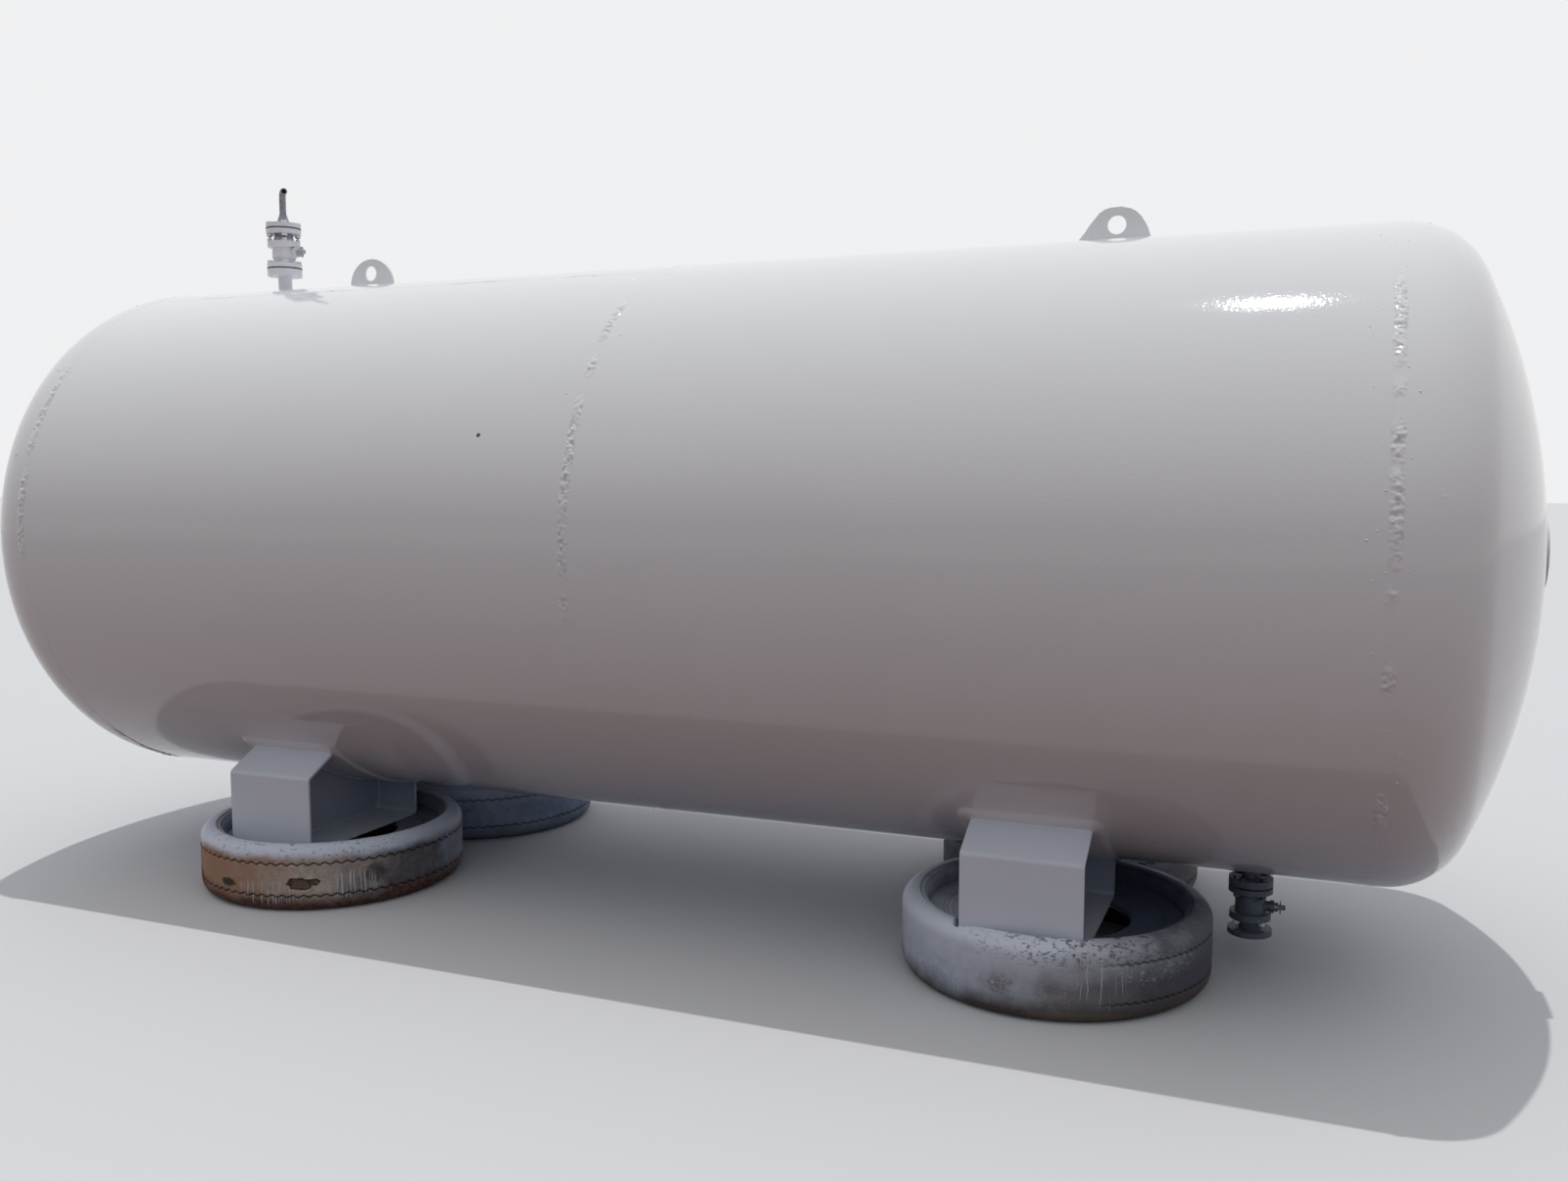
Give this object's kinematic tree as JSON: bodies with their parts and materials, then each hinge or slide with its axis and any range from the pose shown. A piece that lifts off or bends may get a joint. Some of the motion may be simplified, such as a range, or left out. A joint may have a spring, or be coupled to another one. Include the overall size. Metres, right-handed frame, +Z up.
{
  "type": "horizontal pressure tank",
  "caption": "Horizontal welded steel pressure tank with dished ends, lifting lugs, top vent, bottom drain valve and blind end cover, on folded plate legs that stand in flat-lying tyres.",
  "frame": {"origin": "middle of the bounding box, at ground level", "axes": "+X along the tank towards the end with the blind cover, +Z up, -Y the side the picture shows"},
  "size_m": [6.0496, 2.2829, 2.9965],
  "materials": {
    "tank_paint": "gloss white paint, brushed and sprayed",
    "leg_paint": "semi-gloss white paint",
    "valve_paint": "white paint over cast steel",
    "drain_paint": "dark blue-grey paint with white overspray",
    "bare_steel": "dull grey steel",
    "stem_steel": "dull grey steel",
    "gasket_sheet": "black gasket sheet",
    "tyre_rubber": "worn rubber with white overspray and brown dirt"
  },
  "bodies": {
    "root": {"shell_course_left": "tank_paint", "shell_course_right": "tank_paint", "head_left": "tank_paint", "head_right": "tank_paint", "girth_weld_left": "tank_paint", "girth_weld_middle": "tank_paint", "girth_weld_right": "tank_paint", "seam_weld_left": "tank_paint", "seam_weld_right": "tank_paint", "lifting_lug_left": "tank_paint", "lifting_lug_right": "tank_paint", "end_nozzle": "tank_paint", "end_cover": "tank_paint", "vent_nozzle": "valve_paint", "vent_valve_body": "valve_paint", "vent_valve_tail": "bare_steel", "vent_reducer": "bare_steel", "vent_pipe": "bare_steel", "vent_valve_stem": "stem_steel", "drain_valve_stem": "stem_steel", "vent_gasket_lower": "gasket_sheet", "vent_gasket_upper": "gasket_sheet", "drain_gasket": "gasket_sheet", "drain_nozzle": "drain_paint", "drain_valve_body": "drain_paint", "drain_valve_tail": "drain_paint", "pad_front_left": "tank_paint", "leg_front_left": "leg_paint", "web_front_left": "leg_paint", "tyre_front_left": "tyre_rubber", "pad_front_right": "tank_paint", "leg_front_right": "leg_paint", "web_front_right": "leg_paint", "tyre_front_right": "tyre_rubber", "pad_back_left": "tank_paint", "leg_back_left": "leg_paint", "web_back_left": "leg_paint", "tyre_back_left": "tyre_rubber", "pad_back_right": "tank_paint", "leg_back_right": "leg_paint", "web_back_right": "leg_paint", "tyre_back_right": "tyre_rubber"}
  },
  "joints": []
}
